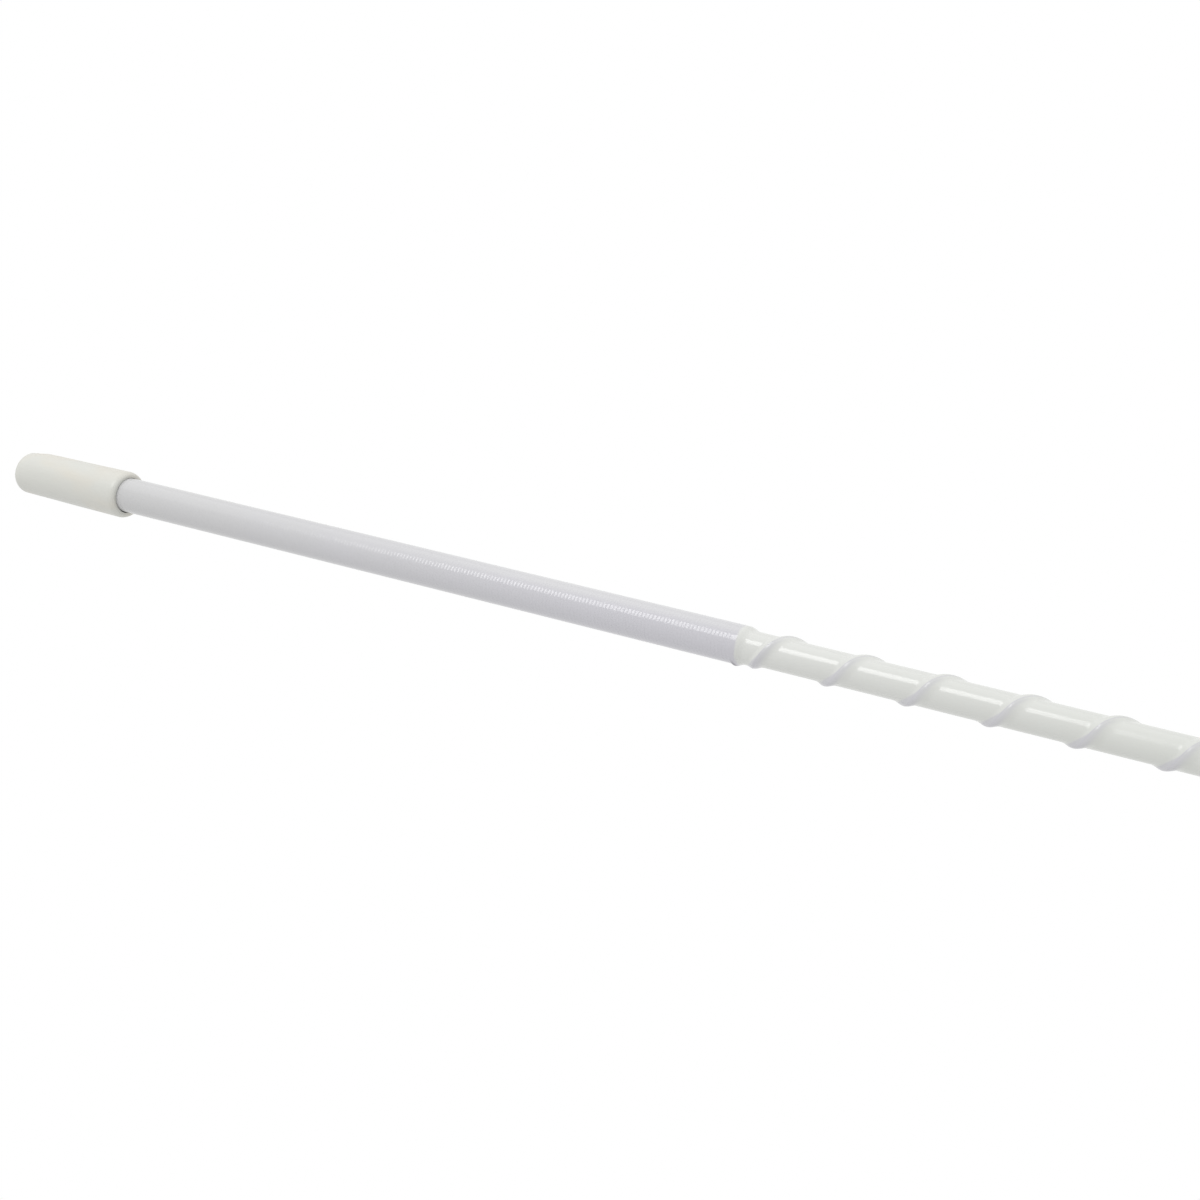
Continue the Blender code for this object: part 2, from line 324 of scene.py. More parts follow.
def cap_vinyl():
    """Soft white vinyl with an orange-peel surface, yellowed in patches that grow towards the tip."""
    made, tree, shader, coordinates = new_material("cap_vinyl", roughness=0.38)
    patches = noise(tree, coordinates, scale=60.0, stretch=(0.6, 1.0, 1.0))
    towards_tip = span(tree, along_antenna(tree, coordinates), *CAP_YELLOWING_X, to_low=0.45)
    yellowed = combine(tree, "MULTIPLY", span(tree, patches, 0.38, 0.60), towards_tip)
    feed(tree, shader.inputs["Base Color"], blend(tree, yellowed, CAP_WHITE, CAP_WARM))
    peel = noise(tree, coordinates, scale=900.0, detail=3.0)
    feed(tree, shader.inputs["Roughness"], span(tree, peel, 0.3, 0.7, to_low=0.33, to_high=0.44))
    bump(tree, shader, peel, 0.06 * MM)
    return made


def jacket_vinyl():
    """Glossy white skin: greyer over the close wire, cooler or warmer along the antenna, with painted shade
    beside the ridges and on the bump at the coil's end, and painted light on top of the coil towards the
    base.
    """
    made, tree, shader, coordinates = new_material("jacket_vinyl", roughness=0.14)
    mottle = noise(tree, coordinates, scale=90.0, detail=3.0, stretch=(0.4, 1.0, 1.0))
    drift = combine(tree, "MULTIPLY_ADD", mottle, TONE_DRIFT_X, along_antenna(tree, coordinates))
    over_coil = blend(tree, span(tree, drift, *COIL_COOLING_X), JACKET_OVER_WIRE, JACKET_OVER_WIRE_COOL)
    plain = blend(tree, span(tree, drift, *HELIX_WARMING_X), JACKET_WHITE, JACKET_WHITE_WARM)
    # The grey line beside each ridge, partly painted shade.
    wire_tinted_and_shaded = blend(tree, attribute(tree, "wire_tint_and_shade"), plain, JACKET_RIDGE_TINT_AND_SHADE)
    wound = blend(tree, attribute(tree, "over_coil"), wire_tinted_and_shaded, over_coil)
    # Painted shade on the bump at the coil's end.
    end_bump_shaded = blend(tree, attribute(tree, "end_bump_shade"), wound, JACKET_END_BUMP_SHADE)
    feed(tree, shader.inputs["Base Color"], end_bump_shaded)
    film = noise(tree, coordinates, scale=500.0)
    feed(tree, shader.inputs["Roughness"], span(tree, film, 0.3, 0.7, to_low=0.12, to_high=0.17))
    bump(tree, shader, mottle, 0.07 * MM)
    return made


def glass_fibre():
    """Drawn fibre and resin, streaked along the rod."""
    made, tree, shader, coordinates = new_material("glass_fibre", roughness=0.45)
    strands = noise(tree, coordinates, scale=900.0, detail=4.0, stretch=(0.02, 1.0, 1.0))
    colour = blend(tree, span(tree, strands, 0.35, 0.65), GLASS_FIBRE_LIGHT, GLASS_FIBRE_DARK)
    feed(tree, shader.inputs["Base Color"], colour)
    bump(tree, shader, strands, 0.05 * MM)
    return made


def copper_wire():
    """Enamelled wire, with grooves between the coil's turns."""
    made, tree, shader, coordinates = new_material("copper_wire", roughness=0.3, metallic=1.0)
    lay = tree.nodes.new("ShaderNodeTexWave")
    lay.wave_profile = "SIN"
    lay.bands_direction = "X"
    bands_per_scale = 20 / TAU
    lay.inputs["Scale"].default_value = 1 / bands_per_scale / COIL_PITCH
    tree.links.new(coordinates, lay.inputs["Vector"])
    tone = noise(tree, coordinates, scale=300.0)
    colour = blend(tree, span(tree, tone, 0.35, 0.65), COPPER_BRIGHT, COPPER_DARK)
    feed(tree, shader.inputs["Base Color"], colour)
    bump(tree, shader, lay.outputs["Fac"], 0.3 * MM)
    return made


def solder():
    """Grainy dull solder."""
    made, tree, shader, coordinates = new_material("solder", roughness=0.4, metallic=1.0)
    grain = noise(tree, coordinates, scale=2500.0, detail=4.0)
    colour = blend(tree, span(tree, grain, 0.3, 0.7), SOLDER_BRIGHT, SOLDER_DULL)
    feed(tree, shader.inputs["Base Color"], colour)
    bump(tree, shader, grain, 0.1 * MM)
    return made


def turned_metal(name, bright, dull, roughness):
    """A machined metal, with fine tool lines round the axis and a few dull patches."""
    made, tree, shader, coordinates = new_material(name, roughness, metallic=1.0)
    lines = noise(tree, coordinates, scale=6000.0, stretch=(1.0, 0.02, 0.02))
    patches = noise(tree, coordinates, scale=250.0, detail=3.0)
    feed(tree, shader.inputs["Base Color"], blend(tree, span(tree, patches, 0.40, 0.75), bright, dull))
    rougher = span(tree, patches, 0.35, 0.75, to_low=roughness, to_high=DULL_PATCH_ROUGHER * roughness)
    feed(tree, shader.inputs["Roughness"], rougher)
    bump(tree, shader, lines, 0.02 * MM, strength=0.5)
    return made


materials = {
    "cap_vinyl": cap_vinyl(),
    "jacket_vinyl": jacket_vinyl(),
    "glass_fibre": glass_fibre(),
    "copper_wire": copper_wire(),
    "solder": solder(),
    "brass": turned_metal("brass", BRASS_BRIGHT, BRASS_DULL, roughness=0.25),
    "nickel_plate": turned_metal("nickel_plate", NICKEL_BRIGHT, NICKEL_DULL, roughness=0.18),
}


def add_piece(obj, body, slot, *nodes):
    """The piece rides on a body, takes a slot's material and stands for CAD nodes."""
    obj.data.materials.append(materials[slot])
    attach(obj, body)
    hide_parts(*nodes)


# ---- the jacket's skin over the wire ----
COIL_RADIUS = radius_of("winding_jacket")
BODY_RADIUS = 5.4 * MM
FULL_DEPTH_GAP = 13.0 * MM
RIB_DEPTH = 0.055 * MM
RIDGE_TOP = 6.4 * MM
RIDGE_TOP_TURNS = (0.4, 1.0)
RIDGE_HALF_WIDTH = 3.0 * MM
RIDGE_LEAD = -1.1 * MM
RIDGE_LEAD_NEAR_SIDE = 1.6 * MM
RIDGE_LEAD_TURNS = (0.9, 1.8)

# The grey line beside each ridge: partly the wire's own grey showing through the stretched skin, partly
# painted shade, widest and darkest below the antenna. Its thinning and its fade go by downward, which is 1
# below the antenna and -1 on top.
WIRE_LINE_LEAD = 0.9 * MM
WIRE_LINE_BEHIND = 0.9 * MM
WIRE_SHADE_SPREAD_BELOW = 2.6 * MM
WIRE_LINE_AHEAD = 2.3 * MM
WIRE_LINE_THINNER_ABOVE = 0.5
WIRE_LINE_THINNING = (0.2, -0.6)
WIRE_LINE_FADE = (-0.93, -0.5)
WIRE_LINE_SIDE_STRENGTH = 0.8
WIRE_LINE_TURNS = (0.3, 0.9)

# Towards the base the top of the coil is painted lighter, a painted highlight where the light falls from
# above, so less of the wire's grey shows there.
COIL_TOP_LIGHT_STATIONS = (150 * MM, 290 * MM)
COIL_TOP_LIGHT_UPWARD = (0.35, 0.75)
COIL_TOP_PAINTED_LIGHT = 0.32

# The turn of tape that holds the coil's end: at these turns after it, how far ahead of the wire the skin
# stays at the coil's height, how far it then takes to come down, and how far the coil's colour goes.
TAPE_TURNS = (-0.15, 0.0, 0.25, 0.5, 0.75, 1.1)
TAPE_LENGTHS = (0.0, 1.5 * MM, 2.3 * MM, 1.0 * MM, 0.0, 0.0)
TAPE_SLOPES = (1.6 * MM, 1.8 * MM, 2.5 * MM, 4.3 * MM, 3.8 * MM, RIDGE_HALF_WIDTH)
TAPE_COLOURS = (0.0, 1.8 * MM, 2.2 * MM, 0.3 * MM, 0.0, 0.0)
TAPE_COLOUR_FADE = 0.5 * MM
CLOSE_GAP = 1.2 * COIL_PITCH

# A raised bump under the tape, low down where the coil ends, darkened with painted shade.
END_BUMP_STATION = COIL_END + 0.45 * MM
END_BUMP_HALF_LENGTH = 1.3 * MM
END_BUMP_ANGLE = math.radians(26)
END_BUMP_HALF_ANGLE = math.radians(36)
END_BUMP_HEIGHT = 0.45 * MM


def hump(distance, half_width):
    """A smooth hump, 1 at its middle and 0 beyond its half width."""
    return np.cos(np.clip(np.abs(distance) / half_width, 0.0, 1.0) * math.pi / 2) ** 2


def ridge_lead(turn):
    """How far ahead of the wire the ridge's crest lies: most on the near side, -Y, where the skin leans."""
    near_side = np.clip(np.sin(WINDING_START_ANGLE + TAU * turn), 0.0, 1.0) ** 2
    loose = smooth_step(turn, *RIDGE_LEAD_TURNS)
    return loose * (RIDGE_LEAD + (RIDGE_LEAD_NEAR_SIDE - RIDGE_LEAD) * near_side)


def ridge_share(turn, ahead, gap, square_on):
    """1 on a ridge's crest, 0 on the skin between ridges. square_on makes lengths square to the wire."""
    held = np.interp(turn, TAPE_TURNS, TAPE_LENGTHS)
    slope = np.interp(turn, TAPE_TURNS, TAPE_SLOPES)
    past_crest = ahead - ridge_lead(turn)
    to_next_crest = gap + ridge_lead(turn + 1) - ahead
    beside = np.maximum(past_crest - held, 0.0) + np.maximum(-past_crest, 0.0)
    falling = hump(beside * square_on, np.minimum(slope, gap / 2))
    rising = hump(to_next_crest * square_on, np.minimum(RIDGE_HALF_WIDTH, gap / 2))
    return np.maximum(falling, rising)


def wire_line_and_shade(ahead, gap, square_on, downward):
    """The wire's grey beside the ridge mixed with painted shade: widest below, thin above and gone on top.
    """
    spread = WIRE_SHADE_SPREAD_BELOW * np.clip(downward, 0.0, 1.0)
    thinning = smooth_step(downward, *WIRE_LINE_THINNING)
    width = WIRE_LINE_AHEAD * (1 - WIRE_LINE_THINNER_ABOVE * thinning)
    past = (ahead - WIRE_LINE_LEAD) * square_on
    short_of_next = (gap - ahead + WIRE_LINE_LEAD) * square_on
    short = np.maximum(-past, short_of_next * (past > 0))
    after = hump(np.maximum(past, 0.0), width)
    before = hump(np.maximum(short - spread, 0.0), WIRE_LINE_BEHIND)
    # Painted shade: the line is strongest below the antenna and fades out on top.
    strength = WIRE_LINE_SIDE_STRENGTH + (1 - WIRE_LINE_SIDE_STRENGTH) * downward
    strength = strength * smooth_step(downward, *WIRE_LINE_FADE)
    return np.where(past > 0, np.maximum(after, before), before) * strength


def coil_tint(turn, ahead, gap, downward):
    """How much of the coil's grey shows: all of it over the coil and the tape, less on top towards the base,
    where light is painted in.
    """
    tinted = np.interp(turn, TAPE_TURNS, TAPE_COLOURS)
    past_tape = smooth_step(ahead, tinted, tinted + TAPE_COLOUR_FADE)
    shown = np.where(gap < CLOSE_GAP, 1.0, 1.0 - past_tape)
    # Painted light: whiter on top of the coil towards the base.
    top_lit = smooth_step(-downward, *COIL_TOP_LIGHT_UPWARD)
    top_lit = top_lit * smooth_step(wire_station(turn), *COIL_TOP_LIGHT_STATIONS)
    return shown * (1 - COIL_TOP_PAINTED_LIGHT * top_lit)


def jacket_surface(turn, ahead):
    """The skin's radius at its places, and how much it shows the coil (painted lighter on top towards the
    base), the wire with its painted shade, and the painted shade of the end bump there.
    """
    gap = gap_after(turn)
    circumference = TAU * WINDING_RADIUS
    square_on = circumference / np.hypot(circumference, pitch_at(turn))
    angle = (WINDING_START_ANGLE + TAU * turn + math.pi) % TAU - math.pi
    downward = np.cos(angle - WINDING_START_ANGLE)
    top = COIL_RADIUS + (RIDGE_TOP - COIL_RADIUS) * smooth_step(turn, *RIDGE_TOP_TURNS)
    opened = smooth_step(gap, COIL_PITCH, FULL_DEPTH_GAP)
    depth = RIB_DEPTH + (top - BODY_RADIUS - RIB_DEPTH) * opened
    # The end bump's height, and the painted shade that darkens it.
    end_bump_and_shade = hump(angle - END_BUMP_ANGLE, END_BUMP_HALF_ANGLE)
    end_bump_and_shade = end_bump_and_shade * hump(wire_station(turn) + ahead - END_BUMP_STATION, END_BUMP_HALF_LENGTH)
    radius = top - depth * (1 - ridge_share(turn, ahead, gap, square_on)) + END_BUMP_HEIGHT * end_bump_and_shade
    wire_tint_and_shade = wire_line_and_shade(ahead, gap, square_on, downward)
    wire_tint_and_shade = wire_tint_and_shade * smooth_step(turn + ahead / gap, *WIRE_LINE_TURNS)
    over_coil = coil_tint(turn, ahead, gap, downward)
    return radius, {"over_coil": over_coil, "wire_tint_and_shade": wire_tint_and_shade, "end_bump_shade": end_bump_and_shade}


# ---- the jacket's ends and its mesh ----
JACKET_WALL = 0.45 * MM
END_RADIUS = COIL_RADIUS - 0.05 * MM
COIL_START_RAMP = 0.4 * MM
SPIGOT_RAMP = 3.5 * MM
BORE_CLEARANCE = 0.05 * MM
BORE_STEP_LENGTH = 1.5 * MM
SPIGOT_BORE_GAP = 0.3 * MM
RIM_TOLERANCE = 0.01 * MM
SEGMENTS_PER_TURN = 56
COIL_STEPS = 6
RIDGE_STEPS = np.array([0, 0.5, 1.0, 1.5, 2.0, 2.6, 3.2, 3.9, 4.8, 6.0, 8.5]) * MM
EVEN_COLUMNS_LAST_TURN = -1

# The turns before and after the coil's end, a few more than the skin's length holds.
COIL_TURNS = 207
HELIX_TURNS = 19


def end_fittings(station, radius):
    """The skin's radius where it passes over the tip ferrule and up over the base ferrule's spigot."""
    coil_first = stations("load_coil")[0]
    spigot_first = stations("base_ferrule")[0]
    over_coil = smooth_step(station, coil_first - COIL_START_RAMP, coil_first + COIL_START_RAMP)
    radius = radius * over_coil + END_RADIUS * (1 - over_coil)
    over_spigot = smooth_step(station, spigot_first - SPIGOT_RAMP, spigot_first)
    return np.maximum(radius, BODY_RADIUS + (END_RADIUS - BODY_RADIUS) * over_spigot)


def column_steps(turn):
    """How far ahead of the wire a column's places are, up to the next turn of the wire."""
    if turn < EVEN_COLUMNS_LAST_TURN:
        return np.linspace(0, COIL_PITCH, COIL_STEPS + 1)
    gap = gap_after(turn)
    reach = RIDGE_STEPS * min(1.0, gap / 2 / RIDGE_STEPS[-1])
    reach[-1] = gap / 2
    return np.concatenate([reach, gap - reach[-2::-1]])


def column_faces(left, right):
    """Faces between two neighbouring columns, in triangles where their counts differ."""
    if len(left) == len(right):
        return [list(corners) for corners in zip(left, right, right[1:], left[1:])]
    faces, i, j = [], 0, 0
    while i < len(left) - 1 or j < len(right) - 1:
        step_left = (i + 1) / (len(left) - 1) <= (j + 1) / (len(right) - 1)
        if (step_left and i < len(left) - 1) or j == len(right) - 1:
            faces.append([left[i], left[i + 1], right[j]])
            i += 1
        else:
            faces.append([left[i], right[j + 1], right[j]])
            j += 1
    return faces


def jacket_mesh():
    """The outer skin as one open mesh, in columns that start at points of the wire."""
    first = -COIL_TURNS * SEGMENTS_PER_TURN
    last = HELIX_TURNS * SEGMENTS_PER_TURN
    places = [(m / SEGMENTS_PER_TURN, 0.0) for m in range(first, last + SEGMENTS_PER_TURN + 1)]
    columns = []
    for number in range(last - first + 1):
        turn = (first + number) / SEGMENTS_PER_TURN
        inner_steps = column_steps(turn)[1:-1]
        inner = range(len(places), len(places) + len(inner_steps))
        places.extend((turn, step) for step in inner_steps)
        columns.append([number, *inner, number + SEGMENTS_PER_TURN])
    turn, ahead = np.array(places).T
    radius, shares = jacket_surface(turn, ahead)
    station = wire_station(turn) + ahead
    points = place(end_fittings(station, radius), station, WINDING_START_ANGLE + TAU * turn)
    faces = [face for left, right in zip(columns, columns[1:]) for face in column_faces(left, right)]
    mesh = bpy.data.meshes.new("winding_jacket_skin")
    mesh.from_pydata(points.tolist(), [], faces)
    for name, values in shares.items():
        mesh.attributes.new(name, "FLOAT", "POINT").data.foreach_set("value", values.astype(np.float32))
    return mesh


def cut_to_length(bm, ends):
    """Cut the skin square at both ends, where its columns stop along the winding's slope."""
    for x, side in zip(ends, (-1, 1)):
        bmesh.ops.bisect_plane(
            bm,
            geom=bm.verts[:] + bm.edges[:] + bm.faces[:],
            dist=SAME_PLACE,
            plane_co=(x, 0, 0),
            plane_no=(side, 0, 0),
            clear_outer=True,
        )


def rim_at(bm, x):
    """The open edges at this place."""
    return [e for e in bm.edges if e.is_boundary and abs(e.verts[0].co.x - x) < RIM_TOLERANCE]


def add_bore(bm, ends):
    """Turn the skin in at its tip end, run it back under itself and join it to its base end."""
    wire_bore = radius_of("load_coil") + BORE_CLEARANCE
    rod_bore = BODY_RADIUS - JACKET_WALL
    coil_end = TIP_X + COIL_END
    spigot = TIP_X + stations("base_ferrule")[0]
    bore = [
        (wire_bore, ends[0]),
        (wire_bore, coil_end),
        (rod_bore, coil_end + BORE_STEP_LENGTH),
        (rod_bore, spigot - SPIGOT_RAMP),
        (wire_bore, spigot - SPIGOT_BORE_GAP),
        (wire_bore, ends[1]),
    ]
    edges = rim_at(bm, ends[0])
    for radius, x in bore:
        made = bmesh.ops.extrude_edge_only(bm, edges=edges)["geom"]
        for vert in (item for item in made if isinstance(item, bmesh.types.BMVert)):
            outward = Vector((0, vert.co.y, vert.co.z - AXIS_HEIGHT)).normalized()
            vert.co = Vector((x, 0, AXIS_HEIGHT)) + outward * radius
        edges = [item for item in made if isinstance(item, bmesh.types.BMEdge) and item.is_boundary]
    bore_rim = set(edges)
    skin_rim = [e for e in rim_at(bm, ends[1]) if e not in bore_rim]
    bmesh.ops.bridge_loops(bm, edges=[*edges, *skin_rim])


def make_jacket():
    """The skin as one closed mesh."""
    mesh = jacket_mesh()
    ends = [TIP_X + station for station in stations("winding_jacket")]
    bm = bmesh.new()
    bm.from_mesh(mesh)
    cut_to_length(bm, ends)
    add_bore(bm, ends)
    bmesh.ops.recalc_face_normals(bm, faces=bm.faces)
    bm.to_mesh(mesh)
    bm.free()
    obj = link_mesh("jacket_skin", mesh, sharp_degrees=60)
    add_piece(obj, "antenna", "jacket_vinyl", "winding_jacket")


# ---- the cap: an outline in (radius, station) sizes, then its wear ----
CAP_CORNER = (5.0 * MM, 3.8 * MM)
CAP_TIP_RADIUS = 8.2 * MM
CAP_LIP = (1.6 * MM, 2.6 * MM)
CAP_BORE = 6.54 * MM
CAP_BORE_ROUNDING = 0.12 * MM
CAP_INSIDE_RADIUS = CAP_BORE + 0.15 * MM
CAP_END_THICKNESS = 2.2 * MM
CAP_END_ROUNDING = 0.7 * MM
CAP_WALL_RINGS = 23
CAP_SEGMENTS = 112
CAP_MOUTH_BACK = 0.5 * MM
CAP_MOUTH_SLANT = 0.7 * MM
CAP_SLANT_REACH = 9.0 * MM
CAP_GAPE = 0.32 * MM
CAP_GAPE_DEPTH = 4.0 * MM
CAP_SAG = 0.2 * MM
CAP_TOP_WEAR = 0.75 * MM
CAP_WEAR_STATIONS = (3.5 * MM, 12 * MM)
CAP_OVAL_WOBBLE = 0.03 * MM
CAP_THREE_SIDED_WOBBLE = 0.02 * MM
OVAL_TWIST_PER_METRE = 60
THREE_SIDED_TWIST_PER_METRE = -170


def make_cap():
    last = stations("tip_cap")[1] - CAP_MOUTH_BACK
    mouth = radius_of("tip_cap")
    corner = elliptic((CAP_TIP_RADIUS - CAP_CORNER[0], CAP_CORNER[1]), CAP_CORNER, -90, 0)
    lip = elliptic((mouth - CAP_LIP[0], last - CAP_LIP[1]), CAP_LIP, 0, 90)
    share = np.linspace(0, 1, CAP_WALL_RINGS + 2)[1:-1]
    wall_radii = CAP_TIP_RADIUS + (mouth - CAP_TIP_RADIUS) * share
    wall_stations = CAP_CORNER[1] + (last - CAP_LIP[1] - CAP_CORNER[1]) * share
    mouth_bore = rounded(
        [lip[-1], (CAP_BORE, last), (CAP_BORE, last - CAP_GAPE_DEPTH)], CAP_BORE_ROUNDING
    )
    end = rounded(
        [mouth_bore[-1], (CAP_BORE, CAP_END_THICKNESS), (0.0, CAP_END_THICKNESS)], CAP_END_ROUNDING
    )
    profile = [(0.0, 0.0), *corner, *zip(wall_radii, wall_stations), *lip, *mouth_bore[1:], *end[1:]]

    def worn(radius, station, angles):
        """A dipped skin is never quite round, its top corner is worn and its mouth gapes below."""
        if radius < CAP_INSIDE_RADIUS and station > CAP_END_THICKNESS:
            gape = CAP_GAPE * smooth_step(station, last - CAP_GAPE_DEPTH, last)
            return radius + gape * np.clip(np.cos(angles), 0.0, 1.0) ** 2 - CAP_SAG * np.cos(angles)
        wobble = CAP_OVAL_WOBBLE * np.sin(2 * angles + OVAL_TWIST_PER_METRE * station)
        wobble += CAP_THREE_SIDED_WOBBLE * np.sin(3 * angles + THREE_SIDED_TWIST_PER_METRE * station)
        upward = np.clip(-np.cos(angles), 0.0, 1.0)
        near_tip = 1 - smooth_step(station, *CAP_WEAR_STATIONS)
        return radius + wobble - CAP_TOP_WEAR * upward * near_tip * min(1.0, radius / CAP_TIP_RADIUS)

    obj = turned("cap_skin", profile, CAP_SEGMENTS, worn)
    vertex_stations = np.array([v.co.x for v in obj.data.vertices]) - TIP_X
    slant_shares = smooth_step(vertex_stations, last - CAP_SLANT_REACH, last)
    for vertex, near_mouth in zip(obj.data.vertices, slant_shares):
        low_side = 0.5 - 0.5 * (vertex.co.z - AXIS_HEIGHT) / mouth
        vertex.co.x -= CAP_MOUTH_SLANT * low_side * near_mouth
        vertex.co.z -= CAP_SAG
    add_piece(obj, "cap", "cap_vinyl", "tip_cap")


# ---- threads and hexagons ----
THREAD_ROWS_PER_TURN = 12
THREAD_STEEPNESS = 1.3
THREAD_FLAT = 0.15
HEX_FACE_INSET = 0.1 * MM
HEX_CHAMFER_STEPS = 9


def thread_rows(radius, first, last, pitch):
    """Profile points close enough together for a thread to be cut into them."""
    return [(radius, station) for station in np.arange(first, last, pitch / THREAD_ROWS_PER_TURN)]


def thread(crest, depth, pitch, station, angles):
    """The radius of a right-hand vee thread with slightly flat crests and roots."""
    phase = (station / pitch + angles / TAU) % 1.0
    wave = np.clip(np.abs(2 * phase - 1) * THREAD_STEEPNESS - THREAD_FLAT, 0.0, 1.0)
    return crest - depth * wave


def hexagon(across_flats, angles):
    """The radius of a hexagon with one flat facing down."""
    from_flat = (angles + TAU / 12) % (TAU / 6) - TAU / 12
    return across_flats / 2 / np.cos(from_flat)


def hex_outline(across_flats, first, last, chamfer):
    """The outline that a hexagon is cut from: its corners' radius, with both ends chamfered."""
    corner = across_flats / math.sqrt(3)
    face = across_flats / 2 - HEX_FACE_INSET
    slope = np.linspace(0, 1, HEX_CHAMFER_STEPS)
    near = [(face + (corner - face) * share, first + chamfer * share) for share in slope]
    far = [(face + (corner - face) * share, last - chamfer * share) for share in slope[::-1]]
    return [*near, *far]


# ---- the tip's metal pieces ----
TUNING_BORE = radius_of("tuning_rod") + FIT_CLEARANCE
TUNING_PITCH = 0.8 * MM
TUNING_THREAD_DEPTH = 0.40 * MM
TUNING_ROD_CHAMFER = 0.5 * MM
KNURL_TEETH = 36
SEGMENTS_PER_TOOTH = 6
KNURL_DEPTH = 0.22 * MM
KNURL_RISE = 0.1 * MM
KNURL_MARGIN = 0.7 * MM
KNURL_ROWS_MARGIN = 0.8 * MM
KNURL_ROWS = 9
KNOB_ROUNDING = 0.6 * MM
KNOB_BORE_END = 2.5 * MM
SCREW_SLOT_WIDTH = 1.2 * MM
SCREW_SLOT_DEPTH = 1.4 * MM
NUT_CHAMFER = 0.8 * MM
TIP_SOCKET_DEPTH = 10 * MM
TIP_GROOVES = (4 * MM, 6 * MM)
TIP_GROOVE_DEPTH = 0.25 * MM
TIP_GROOVE_HALF_WIDTH = 0.6 * MM
TIP_GROOVE_HALF_FLOOR = 0.3 * MM
TIP_FERRULE_ROUNDING = 0.4 * MM


def make_tuning_rod():
    first, last = stations("tuning_rod")
    crest = radius_of("tuning_rod")
    root = crest - TUNING_THREAD_DEPTH
    rows = thread_rows(crest, first + TUNING_ROD_CHAMFER, last - TUNING_ROD_CHAMFER, TUNING_PITCH)
    profile = [(0.0, first), (root, first), *rows, (root, last), (0.0, last)]

    def threaded(radius, station, angles):
        if radius <= root:
            return radius
        return thread(crest, TUNING_THREAD_DEPTH, TUNING_PITCH, station, angles)

    obj = turned("tuning_rod_threaded", profile, segments=40, shape=threaded, sharp_degrees=60)
    add_piece(obj, "threaded_rod", "brass", "tuning_rod")


def cut_screw_slot(obj, station):
    """Cut a straight slot into the knob's end, by a Boolean that is applied."""
    bpy.ops.mesh.primitive_cube_add(size=1.0, location=(TIP_X + station, 0.0, AXIS_HEIGHT))
    cutter = bpy.context.object
    cutter.scale = (2 * SCREW_SLOT_DEPTH, 4 * radius_of("tuning_knob"), SCREW_SLOT_WIDTH)
    cut = obj.modifiers.new("screw_slot", "BOOLEAN")
    cut.operation = "DIFFERENCE"
    cut.object = cutter
    graph = bpy.context.evaluated_depsgraph_get()
    slotted = bpy.data.meshes.new_from_object(obj.evaluated_get(graph))
    obj.modifiers.clear()
    obj.data = slotted
    bpy.data.objects.remove(cutter)


def make_tuning_knob():
    first, last = stations("tuning_knob")
    outer = radius_of("tuning_knob") - KNURL_RISE
    bore_end = first + KNOB_BORE_END
    corners = [(TUNING_BORE, last), (outer, last), (outer, first), (0.0, first)]
    rim = rounded(corners, KNOB_ROUNDING, steps=6)
    knurl_first, knurl_last = first + KNURL_MARGIN, last - KNURL_MARGIN
    rows = np.linspace(last - KNURL_ROWS_MARGIN, first + KNURL_ROWS_MARGIN, KNURL_ROWS)
    base_side = [point for point in rim if point[1] > (first + last) / 2]
    tip_side = rim[len(base_side) :]
    body = [(outer, station) for station in rows]
    profile = [(0.0, bore_end), (TUNING_BORE, bore_end), *base_side, *body, *tip_side]

    def knurled(radius, station, angles):
        if radius < outer - KNURL_RISE / 2 or not knurl_first < station < knurl_last:
            return radius
        return radius + KNURL_RISE - KNURL_DEPTH * np.abs(np.sin(angles * KNURL_TEETH / 2))

    obj = turned("tuning_knob_knurled", profile, KNURL_TEETH * SEGMENTS_PER_TOOTH, knurled, sharp_degrees=40)
    cut_screw_slot(obj, first)
    add_piece(obj, "knob", "brass", "tuning_knob")


def make_lock_nut():
    first, last = stations("lock_nut")
    across_flats = height_of("lock_nut")
    outline = hex_outline(across_flats, first, last, NUT_CHAMFER)
    profile = [(TUNING_BORE, first), *outline, (TUNING_BORE, last)]

    def hexed(radius, station, angles):
        return np.minimum(radius, hexagon(across_flats, angles)) if radius > TUNING_BORE else radius

    obj = turned("lock_nut_chamfered", profile, shape=hexed, sharp_degrees=25)
    add_piece(obj, "nut", "brass", "lock_nut")


def make_tip_ferrule():
    first, last = stations("tip_ferrule")
    outer = radius_of("tip_ferrule")
    floor = last - TIP_SOCKET_DEPTH
    outside = [(TUNING_BORE, first), (outer, first)]
    for middle in (first + groove for groove in TIP_GROOVES):
        outside.append((outer, middle - TIP_GROOVE_HALF_WIDTH))
        outside.append((outer - TIP_GROOVE_DEPTH, middle - TIP_GROOVE_HALF_FLOOR))
        outside.append((outer - TIP_GROOVE_DEPTH, middle + TIP_GROOVE_HALF_FLOOR))
        outside.append((outer, middle + TIP_GROOVE_HALF_WIDTH))
    outside += [(outer, last), (ROD_SOCKET_RADIUS, last)]
    inside = [(ROD_SOCKET_RADIUS, floor), (TUNING_BORE, floor)]
    profile = [*rounded(outside, TIP_FERRULE_ROUNDING), *inside]
    obj = turned("tip_ferrule_turned", profile, sharp_degrees=30)
    add_piece(obj, "antenna", "nickel_plate", "tip_ferrule")


